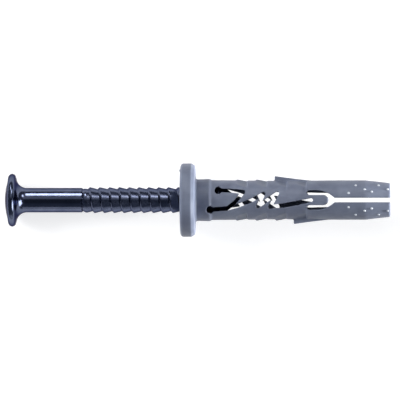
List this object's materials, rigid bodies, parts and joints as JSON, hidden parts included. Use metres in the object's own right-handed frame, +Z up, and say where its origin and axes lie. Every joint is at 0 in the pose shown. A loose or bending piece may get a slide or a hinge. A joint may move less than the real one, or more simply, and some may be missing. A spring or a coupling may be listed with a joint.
{
  "type": "hammer fixing plug",
  "caption": "Hammer fixing plug lying on its side: a flanged nylon expansion sleeve with zigzag slots, teeth and wings, and a threaded drive nail set in its mouth.",
  "frame": {"origin": "on the floor under the middle of the plug as it lies", "axes": "+X runs along the plug from the nail head to the tip, +Z is up, and +Y points across it to the side of the first wing"},
  "size_m": [0.0772, 0.0146, 0.0148],
  "materials": {
    "nail_steel": "bright bluish zinc plating over drawn steel, dark in reflection",
    "sleeve_nylon": "bluish grey moulded nylon with a faint sheen"
  },
  "bodies": {
    "root": {"nail_screw": "nail_steel", "expansion_sleeve": "sleeve_nylon"}
  },
  "joints": []
}
